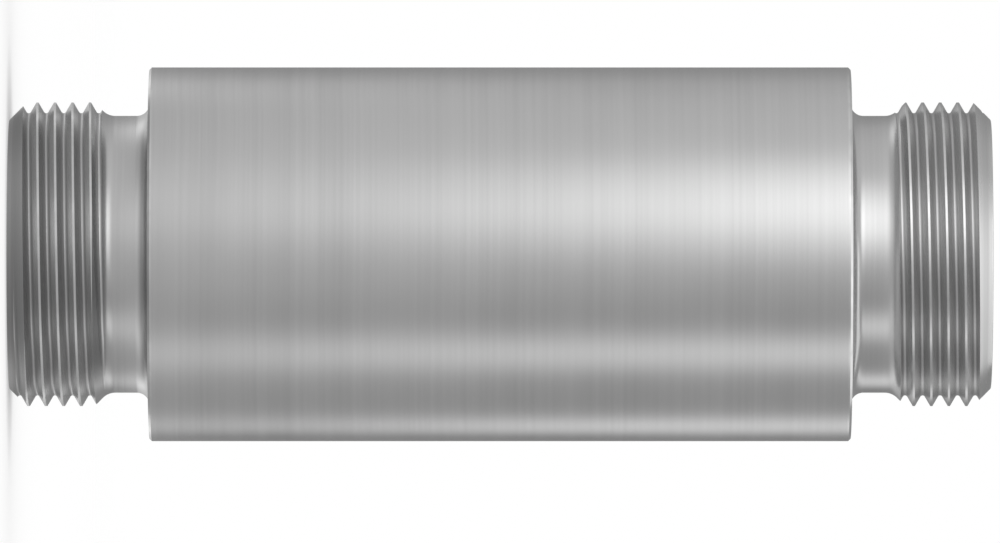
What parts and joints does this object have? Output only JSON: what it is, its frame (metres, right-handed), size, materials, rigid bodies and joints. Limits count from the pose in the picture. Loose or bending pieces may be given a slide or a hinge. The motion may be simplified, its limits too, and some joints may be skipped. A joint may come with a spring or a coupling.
{
  "type": "weld bulkhead fitting",
  "caption": "Turned steel tube coupling body with a plain weld collar, an outside thread and a cone seat at each end, and a flow bore right through.",
  "frame": {"origin": "centre of the lower end face, on which the fitting stands", "axes": "+Z along the fitting's axis, from the lower end face to the upper one; X and Y are any two directions across it, because the body is a turned one"},
  "size_m": [0.032, 0.032, 0.084],
  "materials": {
    "steel": "bare turned steel, satin, with fine turning marks around the axis"
  },
  "bodies": {
    "root": {"fitting_body": "steel"}
  },
  "joints": []
}
